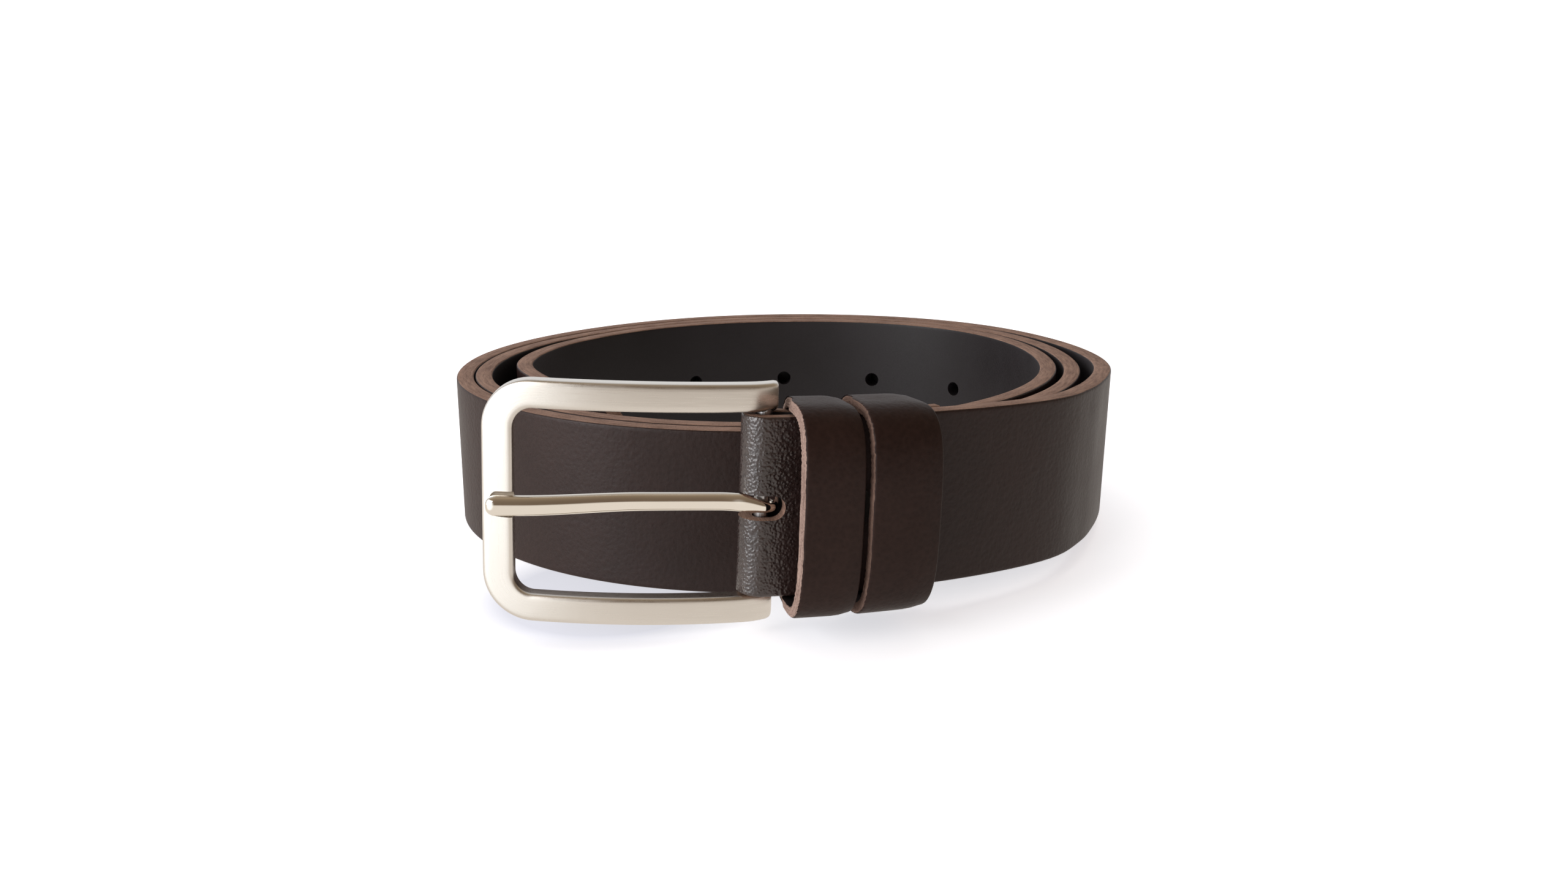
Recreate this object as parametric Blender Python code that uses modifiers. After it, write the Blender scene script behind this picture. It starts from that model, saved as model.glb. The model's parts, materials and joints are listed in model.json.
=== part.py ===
"""A gentleman's leather belt with a pronged frame buckle, coiled up and standing on its edge.

The origin is on the floor under the middle of the whole belt. +Z is up, -Y faces the buckle.
The coil is laid out in plan by the strap's outer (grain) face, and the buckle end is an arc
in a plane that leans a little, so that the strap comes down to the floor round the coil.
"""

import math

import bmesh
import bpy
from mathutils import Matrix, Vector

MM = 0.001
GAP = 0.3 * MM                       # between pieces that touch

# Strap
STRAP_WIDTH = 35.0 * MM
STRAP_THICKNESS = 4.1 * MM
FOLD_THICKNESS = 2.6 * MM            # the leather is skived where it folds round the bar
FLAP_LENGTH = 38.0 * MM
SKIVE_START, SKIVE_END = 3.0 * MM, 11.0 * MM
HOLE_RADIUS = 2.0 * MM
HOLE_TURNS = (853.0, 876.0, 900.0, 925.5, 949.5)   # degrees round the coil, one every inch
SLOT_HEIGHT = 5.2 * MM
SLOT_REACH = 4.3 * MM                # along the strap past the bar, front and back

# The coil: degrees round it from the front, and the radius of the grain face in millimetres
COIL_STATIONS = (
    (30, 89.8), (40, 88.9), (50, 86.6), (60, 83.6), (70, 81.8), (80, 81.2), (92, 81.3),
    (112, 81.9), (135, 81.2), (180, 75.8), (225, 75.0), (270, 80.7), (290, 82.0),
    (315, 80.4), (360, 75.2), (405, 73.6), (450, 74.9), (495, 76.5), (540, 70.9), (585, 70.2),
    (630, 76.2), (650, 77.6), (675, 75.9), (720, 70.7), (765, 67.5), (810, 69.2),
    (855, 71.9), (900, 66.2), (945, 65.6), (990, 68.3), (1012, 64.2), (1030, 62.6), (1046, 62.0),
)
TURN_STEP = 6.0                      # degrees between the strap's cross-sections
JOIN_START, JOIN_END = 32.0, 50.0    # degrees where the end arc becomes the coil
TIP_TURN = 1046.0
SETTLE_START, SETTLE_END = 50.0, 118.0   # degrees where the strap comes down to the floor

# The buckle end: an arc in plan in a leaning plane
ARC_CENTRE = Vector((-34.0, 38.0, 0.0)) * MM
ARC_RADIUS = 140.8 * MM              # of the grain face
BAR_ANGLE = math.radians(-77.4)
BAR_HEIGHT = 26.0 * MM
LEAN = math.radians(2.7)
LEAN_HEADING = math.radians(38.0)    # the plane goes down this way

# Heel bar and frame
BAR_RADIUS = 1.5 * MM
FOLD_RADIUS = BAR_RADIUS + GAP + FOLD_THICKNESS
FRAME_YAW = math.radians(3.5)
FRAME_OPENING = 35.7 * MM
ARM_HEIGHT = 5.4 * MM
END_BAR_WIDTH = 6.0 * MM
FRAME_DEPTH = 4.6 * MM
FRAME_REACH = 52.4 * MM              # bar axis to the outside of the end bar
KNUCKLE_REACH = 2.6 * MM             # the arms' ends past the bar axis
CORNER_RADIUS = 6.6 * MM             # of the frame's centre line
FRAME_BOW = 3.0 * MM
BAR_SEAT_DEPTH = 3.6 * MM            # how far the bar goes into each arm

# Prong
PRONG_RING_RADIUS = 3.1 * MM
PRONG_RING_HEIGHT = 3.4 * MM
PRONG_HEIGHT = 3.8 * MM
PRONG_DEPTH = 2.8 * MM
PRONG_TIP = 51.4 * MM
PRONG_RISE = 2.7 * MM                # the tip's centre in front of the shaft's
PRONG_DROP = 1.2 * MM                # the tip's centre below the shaft's root
NOTCH_INSET = 1.2 * MM               # the end bar's outside to the notch the prong rests in

# Keepers
KEEPER_THICKNESS = 2.2 * MM
KEEPER_STARTS = {"keeper_fixed": 4.2 * MM, "keeper_free": 16.5 * MM}
KEEPER_WIDTHS = {"keeper_fixed": 10.9 * MM, "keeper_free": 13.4 * MM}
KEEPER_HALF_HEIGHT = 19.4 * MM       # of the leather's middle
KEEPER_FRONT = 10.3 * MM             # from the strap's grain face
KEEPER_BACK = 10.3 * MM
KEEPER_FRONT_POWER, KEEPER_BACK_POWER = 3.4, 8.0
BUTT_GAP = 0.5 * MM

# Screw posts and screws through the fold
SCREW_PLACES = (16.1 * MM, 28.8 * MM)    # along the strap from the bar
HEAD_RADIUS = 4.5 * MM
HEAD_THICKNESS = 0.9 * MM
POST_RADIUS = 2.45 * MM
POST_BORE = 1.75 * MM
SHANK_RADIUS = 1.4 * MM
DRIVE_WIDTH, DRIVE_LENGTH, DRIVE_DEPTH = 0.9 * MM, 6.5 * MM, 0.4 * MM    # the screwdriver's slot

# Staples across each keeper's butt joint
STAPLE_WIRE = 0.45 * MM
STAPLE_SPAN = 6.0 * MM
STAPLE_OFFSETS = (2.8 * MM, 8.4 * MM)    # along the strap from the keeper's edge

# The middle of the belt's box on the floor, from the coil's centre
BELT_MIDDLE = Vector((0.1, -16.9, 0.0)) * MM


def clear_scene():
    for obj in list(bpy.data.objects):
        bpy.data.objects.remove(obj, do_unlink=True)


def collection(name):
    new = bpy.data.collections.new(name)
    bpy.context.scene.collection.children.link(new)
    return new


def material(name, colour, roughness, metallic=0.0):
    mat = bpy.data.materials.new(name)
    mat.use_nodes = True
    shader = mat.node_tree.nodes["Principled BSDF"]
    shader.inputs["Base Color"].default_value = (*colour, 1.0)
    shader.inputs["Roughness"].default_value = roughness
    shader.inputs["Metallic"].default_value = metallic
    return mat


def spread(start, end, count):
    """Evenly spaced numbers from start to end."""
    return [start + (end - start) * i / (count - 1) for i in range(count)]


def smooth_step(x, start, end):
    t = min(1.0, max(0.0, (x - start) / (end - start)))
    return t * t * (3.0 - 2.0 * t)


def finish(obj, group, mat, crease_degrees=35.0):
    """Puts a piece in its collection with its material, shaded smooth but for its sharp edges."""
    for old in list(obj.users_collection):
        old.objects.unlink(obj)
    group.objects.link(obj)
    obj.data.materials.clear()
    obj.data.materials.append(mat)
    obj.data.shade_smooth()
    obj.data.set_sharp_from_angle(angle=math.radians(crease_degrees))
    return obj


def mesh_object(name, bm):
    mesh = bpy.data.meshes.new(name)
    bm.to_mesh(mesh)
    bm.free()
    obj = bpy.data.objects.new(name, mesh)
    bpy.context.scene.collection.objects.link(obj)
    return obj


def loft(name, rings):
    """A closed solid through rings of points, each ring with the same number of points."""
    bm = bmesh.new()
    rows = [[bm.verts.new(point) for point in ring] for ring in rings]
    count = len(rows[0])
    for low, high in zip(rows, rows[1:]):
        for i in range(count):
            j = (i + 1) % count
            bm.faces.new((low[i], low[j], high[j], high[i]))
    bm.faces.new(reversed(rows[0]))
    bm.faces.new(rows[-1])
    bmesh.ops.recalc_face_normals(bm, faces=bm.faces)
    return mesh_object(name, bm)


def cylinder(name, radius, start, end, segments=24):
    """A closed cylinder between two points."""
    start, end = Vector(start), Vector(end)
    along = end - start
    bm = bmesh.new()
    bmesh.ops.create_cone(
        bm, cap_ends=True, segments=segments, radius1=radius, radius2=radius, depth=along.length
    )
    turn = along.to_track_quat("Z", "Y").to_matrix().to_4x4()
    bmesh.ops.transform(bm, matrix=Matrix.Translation((start + end) / 2) @ turn, verts=bm.verts)
    return mesh_object(name, bm)


def boolean(obj, other, operation="DIFFERENCE"):
    modifier = obj.modifiers.new(f"{operation.lower()} {other.name}", "BOOLEAN")
    modifier.operation = operation
    modifier.solver = "EXACT"
    modifier.object = other


def as_cutter(obj, cutters):
    for old in list(obj.users_collection):
        old.objects.unlink(obj)
    cutters.objects.link(obj)
    obj.hide_render = True
    obj.display_type = "WIRE"
    return obj


# ---------------------------------------------------------------- where things are

def end_frame():
    """The leaning frame of the buckle end: origin on the heel bar, +X along the world's, +Z up the bar."""
    bar = ARC_CENTRE + (ARC_RADIUS - FOLD_RADIUS) * Vector(
        (math.cos(BAR_ANGLE), math.sin(BAR_ANGLE), 0.0)
    )
    lean_axis = Vector((-math.sin(LEAN_HEADING), math.cos(LEAN_HEADING), 0.0))
    return Matrix.Translation(bar + Vector((0.0, 0.0, BAR_HEIGHT))) @ Matrix.Rotation(LEAN, 4, lean_axis)


END = end_frame()
BAR = Vector((END.translation.x, END.translation.y, 0.0))


def in_end(x, y, height):
    """A point of the buckle end from its place in plan and its height from the strap's middle."""
    return END @ Vector((x - BAR.x, y - BAR.y, height))


def arc_point(along, outward, height):
    """A point beside the end arc: along the strap from the bar, out from its grain face, and up."""
    angle = BAR_ANGLE + along / ARC_RADIUS
    radius = ARC_RADIUS + outward
    return in_end(
        ARC_CENTRE.x + radius * math.cos(angle), ARC_CENTRE.y + radius * math.sin(angle), height
    )


def coil_radius(turn):
    """The grain face's radius, by a cubic through the stations with central slopes."""
    stations = COIL_STATIONS
    i = 0
    while i < len(stations) - 2 and turn > stations[i + 1][0]:
        i += 1

    def slope(k):
        low, high = max(k - 1, 0), min(k + 1, len(stations) - 1)
        return (stations[high][1] - stations[low][1]) / (stations[high][0] - stations[low][0])

    (start, r0), (end, r1) = stations[i], stations[i + 1]
    span = end - start
    t = (turn - start) / span
    rise = (
        (2 * t**3 - 3 * t**2 + 1) * r0
        + (t**3 - 2 * t**2 + t) * span * slope(i)
        + (-2 * t**3 + 3 * t**2) * r1
        + (t**3 - t**2) * span * slope(i + 1)
    )
    return rise * MM


def arc_reach(angle):
    """The distance from the coil's centre to the end arc in a direction."""
    toward = ARC_CENTRE.x * math.cos(angle) + ARC_CENTRE.y * math.sin(angle)
    return toward + math.sqrt(toward**2 - ARC_CENTRE.length_squared + ARC_RADIUS**2)


def coil_point(turn):
    """A point of the grain face in plan."""
    angle = math.radians(turn - 90.0)
    radius = coil_radius(max(turn, COIL_STATIONS[0][0]))
    if turn < JOIN_END:
        share = smooth_step(turn, JOIN_START, JOIN_END)
        radius = (1.0 - share) * arc_reach(angle) + share * radius
    return Vector((radius * math.cos(angle), radius * math.sin(angle), 0.0))


def on_coil(point, turn, height):
    """Lifts a plan point to a height from the strap's middle: leaning by the buckle, then on the floor."""
    share = smooth_step(turn, SETTLE_START, SETTLE_END)
    leaning = in_end(point.x, point.y, height)
    standing = Vector((point.x, point.y, STRAP_WIDTH / 2 + height))
    return leaning.lerp(standing, share)


# ---------------------------------------------------------------- strap

def strap_stations():
    """Plan points along the grain face from the flap's end to the tip: (point, turn, thickness)."""
    stations = []
    for along in spread(FLAP_LENGTH, 2.0 * MM, 13):
        settle = smooth_step(along, 0.0, SKIVE_END)
        outer = -2 * FOLD_RADIUS + settle * (2 * FOLD_RADIUS - STRAP_THICKNESS - GAP - FOLD_THICKNESS)
        stations.append((arc_plan(along, outer), 0.0, FOLD_THICKNESS))
    for degrees in range(0, 181, 12):
        angle = BAR_ANGLE + math.radians(180.0 + degrees)
        around = Vector((math.cos(angle), math.sin(angle), 0.0))
        stations.append((BAR + FOLD_RADIUS * around, 0.0, FOLD_THICKNESS))
    for along in spread(3.0 * MM, 39.0 * MM, 13):
        skive = smooth_step(along, SKIVE_START, SKIVE_END)
        thickness = FOLD_THICKNESS + skive * (STRAP_THICKNESS - FOLD_THICKNESS)
        stations.append((arc_plan(along, 0.0), 0.0, thickness))
    last = stations[-1][0]
    first_turn = math.degrees(math.atan2(last.y, last.x)) + 90.0
    turn = math.ceil(first_turn / TURN_STEP + 0.4) * TURN_STEP
    while turn < TIP_TURN - 1.0:
        stations.append((coil_point(turn), turn, STRAP_THICKNESS))
        turn += TURN_STEP
    stations.append((coil_point(TIP_TURN), TIP_TURN, STRAP_THICKNESS))
    return stations


def arc_plan(along, outward):
    angle = BAR_ANGLE + along / ARC_RADIUS
    return ARC_CENTRE + (ARC_RADIUS + outward) * Vector((math.cos(angle), math.sin(angle), 0.0))


def build_strap(group, cutters, mat):
    """The strap is its grain face as an open ribbon, made solid towards the flesh side."""
    stations = strap_stations()
    bm = bmesh.new()
    heights = (-STRAP_WIDTH / 2, STRAP_WIDTH / 2)
    rows = [[bm.verts.new(on_coil(p, turn, h)) for h in heights] for p, turn, _ in stations]
    for (low_a, high_a), (low_b, high_b) in zip(rows, rows[1:]):
        bm.faces.new((low_a, low_b, high_b, high_a))
    strap = mesh_object("strap", bm)
    shares = strap.vertex_groups.new(name="thickness")
    for i, (_, _, thickness) in enumerate(stations):
        shares.add([2 * i, 2 * i + 1], thickness / STRAP_THICKNESS, "REPLACE")
    solid = strap.modifiers.new("leather", "SOLIDIFY")
    solid.thickness = STRAP_THICKNESS
    solid.offset = -1.0
    solid.vertex_group = "thickness"
    boolean(strap, slot_cutter(cutters))
    boolean(strap, tip_cutter(cutters))
    for turn in HOLE_TURNS:
        centre = coil_point(turn)
        start = on_coil(centre * 1.03, turn, 0.0)
        end = on_coil(centre * 0.90, turn, 0.0)
        boolean(strap, as_cutter(cylinder(f"hole at {turn:g}", HOLE_RADIUS, start, end, 20), cutters))
    for place in SCREW_PLACES:
        start, end = arc_point(place, 2.0 * MM, 0.0), arc_point(place, -9.0 * MM, 0.0)
        hole = cylinder(f"screw hole at {place / MM:g}", POST_RADIUS + GAP, start, end)
        boolean(strap, as_cutter(hole, cutters))
    return finish(strap, group, mat)


def slot_cutter(cutters):
    """The prong's slot: a lens-ended block that opens the fold from its front to its back."""
    half = SLOT_HEIGHT / 2
    outline = [(-2 * FOLD_RADIUS, -half), (SLOT_REACH - half, -half)]
    for degrees in range(-75, 90, 15):
        angle = math.radians(degrees)
        outline.append((SLOT_REACH - half + half * math.cos(angle), half * math.sin(angle)))
    outline += [(SLOT_REACH - half, half), (-2 * FOLD_RADIUS, half)]
    rings = [[arc_point(x, outward, z) for x, z in outline] for outward in (1.0 * MM, -9.6 * MM)]
    return as_cutter(loft("prong slot", rings), cutters)


def tip_cutter(cutters):
    """What is trimmed from the strap's square end to leave a rounded tip."""
    edge = coil_point(TIP_TURN)
    back = coil_point(TIP_TURN - TURN_STEP)
    along = (edge - back).normalized()
    across = Vector((along.y, -along.x, 0.0))
    reach, radius = 12.0 * MM, STRAP_WIDTH / 2
    beyond, side = 6.0 * MM, STRAP_WIDTH
    outline = [(-reach, -side), (beyond, -side), (beyond, side), (-reach, side), (-reach, radius)]
    for degrees in range(80, -90, -10):
        angle = math.radians(degrees)
        outline.append((-reach + (reach - 0.5 * MM) * math.cos(angle), radius * math.sin(angle)))
    outline.append((-reach, -radius))
    floor = Vector((0.0, 0.0, STRAP_WIDTH / 2))
    rings = []
    for offset in (-9.0 * MM, 4.0 * MM):
        rings.append([edge + floor + x * along + offset * across + Vector((0, 0, z)) for x, z in outline])
    return as_cutter(loft("tip trim", rings), cutters)


# ---------------------------------------------------------------- buckle

def buckle_matrix():
    """The buckle's own frame on the heel bar: +X out to the end bar, +Y to the back, +Z up."""
    turn = Matrix.Rotation(math.pi + FRAME_YAW, 4, "Z")
    return END @ turn @ Matrix.Scale(-1.0, 4, Vector((0.0, 1.0, 0.0)))


def bow(x):
    """How far the frame stands forward of the line from the bar to the end bar."""
    middle = (FRAME_REACH - END_BAR_WIDTH / 2) / 2
    return FRAME_BOW * (1.0 - ((x - middle) / middle) ** 2)


def frame_path():
    """The frame's centre line from the lower arm's end round the end bar: (x, z, heading, width)."""
    height = (FRAME_OPENING + ARM_HEIGHT) / 2
    far = FRAME_REACH - END_BAR_WIDTH / 2
    path = []
    for x in spread(-KNUCKLE_REACH, far - CORNER_RADIUS, 15):
        path.append((x, -height, 0.0))
    for degrees in range(15, 90, 15):
        angle = math.radians(degrees)
        x = far - CORNER_RADIUS + CORNER_RADIUS * math.sin(angle)
        path.append((x, -height + CORNER_RADIUS * (1 - math.cos(angle)), angle))
    for z in spread(-height + CORNER_RADIUS, 0.0, 5):
        path.append((far, z, math.pi / 2))
    mirrored = [(x, -z, math.pi - heading) for x, z, heading in reversed(path[:-1])]
    return path + mirrored


def frame_section(x, z, heading):
    """A rounded section with a crowned front, square to the frame's centre line."""
    share = math.sin(heading) ** 2
    half_width = (ARM_HEIGHT + share * (END_BAR_WIDTH - ARM_HEIGHT)) / 2
    half_depth = FRAME_DEPTH / 2
    inner = Vector((-math.sin(heading), 0.0, math.cos(heading)))
    outline = (
        (-1.0, -0.35), (-0.82, -0.80), (-0.45, -1.0), (0.45, -1.0), (0.82, -0.80), (1.0, -0.35),
        (1.0, 0.60), (0.86, 1.0), (-0.86, 1.0), (-1.0, 0.60),
    )
    ring = []
    for across, back in outline:
        point = Vector((x, back * half_depth, z)) + across * half_width * inner
        point.y -= bow(point.x)
        ring.append(point)
    return ring


def build_frame(group, cutters, mat):
    frame = loft("buckle_frame", [frame_section(*station) for station in frame_path()])
    frame.matrix_world = buckle_matrix()
    turn_faces_out(frame)
    seat = FRAME_OPENING / 2 + BAR_SEAT_DEPTH + GAP
    hole = cylinder("bar seat", BAR_RADIUS + GAP, (0.0, 0.0, -seat), (0.0, 0.0, seat))
    hole.matrix_world = END
    boolean(frame, as_cutter(hole, cutters))
    line, height = prong_line(PRONG_TIP) + 2 * GAP, prong_height(PRONG_TIP)
    ends = [(FRAME_REACH - inward, line, height) for inward in (END_BAR_WIDTH + 2 * MM, NOTCH_INSET)]
    notch = cylinder("prong notch", PRONG_HEIGHT / 2 + 2 * GAP, *ends, 16)
    notch.matrix_world = buckle_matrix()
    turn_faces_out(notch)
    boolean(frame, as_cutter(notch, cutters))
    return finish(frame, group, mat)


def turn_faces_out(obj):
    """Bakes a mirrored placing into the mesh, so that the object keeps a plain rotation."""
    plain = END.copy()
    obj.data.transform(plain.inverted() @ obj.matrix_world)
    obj.data.flip_normals()
    obj.matrix_world = plain


def build_bar(group, mat):
    reach = FRAME_OPENING / 2 + BAR_SEAT_DEPTH
    bar = cylinder("heel_bar", BAR_RADIUS, (0.0, 0.0, -reach), (0.0, 0.0, reach), 20)
    bar.matrix_world = END
    return finish(bar, group, mat)


def prong_line(x):
    """The prong's centre line: level with the bar, then forward over the end bar (front is -Y)."""
    return -PRONG_RISE * smooth_step(x, 22.0 * MM, 45.0 * MM) - 0.8 * MM


def prong_height(x):
    """The height of the prong's centre line, which slopes a little to its tip."""
    return PRONG_DROP * (0.42 - smooth_step(x, -10.0 * MM, 62.0 * MM))


def prong_section(x, scale=1.0):
    half_height = PRONG_HEIGHT / 2 * scale * (0.94 + 0.08 * smooth_step(x, 15 * MM, 46 * MM))
    half_depth = PRONG_DEPTH / 2 * scale
    ring = []
    for i in range(12):
        angle = 2 * math.pi * (i + 0.5) / 12
        ring.append(
            Vector((
                x, prong_line(x) + half_depth * math.cos(angle),
                prong_height(x) + half_height * math.sin(angle),
            ))
        )
    return ring


def build_prong(group, cutters, mat):
    """A ring round the heel bar with a shaft that lies across to the end bar."""
    rings = [prong_section(x) for x in spread(1.9 * MM, PRONG_TIP - 1.6 * MM, 22)]
    rings.append(prong_section(PRONG_TIP - 0.7 * MM, 0.86))
    rings.append(prong_section(PRONG_TIP, 0.55))
    prong = loft("prong", rings)
    prong.matrix_world = buckle_matrix()
    turn_faces_out(prong)
    half = PRONG_RING_HEIGHT / 2
    ring = cylinder("prong ring", PRONG_RING_RADIUS, (0.0, 0.0, -half), (0.0, 0.0, half), 28)
    ring.matrix_world = END
    boolean(prong, as_cutter(ring, cutters), "UNION")
    bore = cylinder("prong bore", BAR_RADIUS + GAP, (0.0, 0.0, -4 * half), (0.0, 0.0, 4 * half), 24)
    bore.matrix_world = END
    boolean(prong, as_cutter(bore, cutters))
    return finish(prong, group, mat)


# ---------------------------------------------------------------- keepers

def keeper_profile():
    """The middle of the keeper's leather round the strap: (outward from the grain face, height)."""
    profile = []
    gap_angle = BUTT_GAP / 2 / KEEPER_HALF_HEIGHT
    for angle in spread(-math.pi + gap_angle, math.pi - gap_angle, 57):
        cosine, sine = math.cos(angle), math.sin(angle)
        power = KEEPER_FRONT_POWER if cosine > 0 else KEEPER_BACK_POWER
        reach = KEEPER_FRONT if cosine > 0 else KEEPER_BACK
        outward = reach * math.copysign(abs(cosine) ** (2 / power), cosine)
        profile.append((outward, KEEPER_HALF_HEIGHT * math.copysign(abs(sine) ** (2 / power), sine)))
    low, high = profile[0], profile[-1]
    profile[0] = (low[0], -BUTT_GAP / 2)
    profile[-1] = (high[0], BUTT_GAP / 2)
    return profile


def build_keeper(name, group, cutters, mat):
    """A leather loop whose two ends butt together behind the strap."""
    start = KEEPER_STARTS[name]
    edges = (start, start + KEEPER_WIDTHS[name])
    bm = bmesh.new()
    rows = [[bm.verts.new(arc_point(s, n, z)) for s in edges] for n, z in keeper_profile()]
    for (a, b), (c, d) in zip(rows, rows[1:]):
        bm.faces.new((a, b, d, c))
    keeper = mesh_object(name, bm)
    solid = keeper.modifiers.new("leather", "SOLIDIFY")
    solid.thickness = KEEPER_THICKNESS
    solid.offset = 0.0
    for i, offset in enumerate(STAPLE_OFFSETS):
        for height in (-STAPLE_SPAN / 2, STAPLE_SPAN / 2):
            depths = (-KEEPER_BACK - 3 * MM, -KEEPER_BACK + 3 * MM)
            ends = [arc_point(start + offset, outward, height) for outward in depths]
            hole = cylinder(f"{name} staple hole {i} {height / MM:g}", STAPLE_WIRE + GAP, *ends, 10)
            boolean(keeper, as_cutter(hole, cutters))
    return finish(keeper, group, mat)


def build_staple(keeper, number, group, mat):
    """A wire staple across the butt joint: its crown outside, its legs through the leather."""
    along = KEEPER_STARTS[keeper] + STAPLE_OFFSETS[number]
    crown = -KEEPER_BACK - KEEPER_THICKNESS / 2 - STAPLE_WIRE - GAP
    legs = -KEEPER_BACK + KEEPER_THICKNESS / 2
    half = STAPLE_SPAN / 2
    bend = 0.5 * MM
    route = [
        (legs, -half), (crown + bend, -half), (crown + 0.15 * MM, -half + 0.15 * MM), (crown, -half + bend),
        (crown, half - bend), (crown + 0.15 * MM, half - 0.15 * MM), (crown + bend, half), (legs, half),
    ]
    curve = bpy.data.curves.new("staple wire", "CURVE")
    curve.dimensions = "3D"
    curve.bevel_depth = STAPLE_WIRE
    curve.bevel_resolution = 2
    curve.use_fill_caps = True
    spline = curve.splines.new("POLY")
    spline.points.add(len(route) - 1)
    for point, (outward, height) in zip(spline.points, route):
        point.co = (*arc_point(along, outward, height), 1.0)
    wire = bpy.data.objects.new("wire", curve)
    bpy.context.scene.collection.objects.link(wire)
    bpy.context.view_layer.update()
    evaluated = wire.evaluated_get(bpy.context.evaluated_depsgraph_get())
    mesh = bpy.data.meshes.new_from_object(evaluated)
    bm = bmesh.new()
    bm.from_mesh(mesh)
    bmesh.ops.remove_doubles(bm, verts=bm.verts, dist=0.001 * MM)
    bmesh.ops.recalc_face_normals(bm, faces=bm.faces)
    bpy.data.objects.remove(wire)
    return finish(mesh_object(f"{keeper}_staple_{number + 1}", bm), group, mat, 60.0)


# ---------------------------------------------------------------- screws

def build_screw_pair(number, group, cutters, post_mat, screw_mat):
    """A flat-headed post from the front and the screw that closes it from behind."""
    place = SCREW_PLACES[number]
    back = -STRAP_THICKNESS - GAP - FOLD_THICKNESS

    def on_axis(outward):
        return arc_point(place, outward, 0.0)

    head = (on_axis(GAP), on_axis(GAP + HEAD_THICKNESS))
    post = cylinder(f"screw_post_{number + 1}", HEAD_RADIUS, *head, 32)
    barrel = cylinder("post barrel", POST_RADIUS, on_axis(2 * GAP), on_axis(back + GAP))
    boolean(post, as_cutter(barrel, cutters), "UNION")
    bore = cylinder("post bore", POST_BORE, on_axis(-1.0 * MM), on_axis(back - 1 * MM))
    boolean(post, as_cutter(bore, cutters))
    finish(post, group, post_mat)

    head_face = back - GAP
    head = (on_axis(head_face), on_axis(head_face - HEAD_THICKNESS))
    screw = cylinder(f"screw_{number + 1}", HEAD_RADIUS, *head, 32)
    shank = cylinder("screw shank", SHANK_RADIUS, on_axis(head_face - 0.5 * MM), on_axis(-1.6 * MM), 16)
    boolean(screw, as_cutter(shank, cutters), "UNION")
    outside = head_face - HEAD_THICKNESS
    low, high = on_axis(outside - 1 * MM), on_axis(outside + DRIVE_DEPTH)
    middle = (low + high) / 2
    bpy.ops.mesh.primitive_cube_add(size=1.0)
    drive = bpy.context.object
    drive.name = "screw drive"
    drive.data.transform(Matrix.Diagonal((DRIVE_WIDTH, DRIVE_LENGTH, (high - low).length, 1.0)))
    turn = (high - low).to_track_quat("Z", "Y").to_matrix().to_4x4()
    drive.matrix_world = Matrix.Translation(middle) @ turn
    boolean(screw, as_cutter(drive, cutters))
    finish(screw, group, screw_mat)


def place_belt(group, cutters):
    """Moves the whole belt so that the origin is under the middle of its box."""
    belt = bpy.data.objects.new("belt", None)
    bpy.context.scene.collection.objects.link(belt)
    for obj in list(group.objects) + list(cutters.objects):
        obj.parent = belt
    belt.location = -BELT_MIDDLE


def main():
    clear_scene()
    group = collection("Belt")
    cutters = collection("Cutters")
    leather = material("strap leather", (0.030, 0.019, 0.016), 0.5)
    keeper_leather = material("keeper leather", (0.034, 0.020, 0.016), 0.5)
    satin = material("satin nickel", (0.72, 0.70, 0.66), 0.35, 1.0)
    polished = material("polished nickel", (0.76, 0.73, 0.68), 0.15, 1.0)
    steel = material("steel", (0.55, 0.55, 0.56), 0.3, 1.0)

    build_strap(group, cutters, leather)
    build_frame(group, cutters, satin)
    build_bar(group, steel)
    build_prong(group, cutters, polished)
    for name in KEEPER_STARTS:
        build_keeper(name, group, cutters, keeper_leather)
        for number in range(len(STAPLE_OFFSETS)):
            build_staple(name, number, group, steel)
    for number in range(len(SCREW_PLACES)):
        build_screw_pair(number, group, cutters, polished, steel)
    place_belt(group, cutters)


main()
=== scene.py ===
"""The looks of the coiled dress belt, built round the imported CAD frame.

Lengths are in metres. The strap, keepers and buckle follow the same lines as their CAD solids,
with rounded leather edges, a crowned frame and materials for grain, flesh, raw edge and nickel.
"""

import json
import math

import bmesh
import bpy
from mathutils import Matrix, Vector, noise

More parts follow.
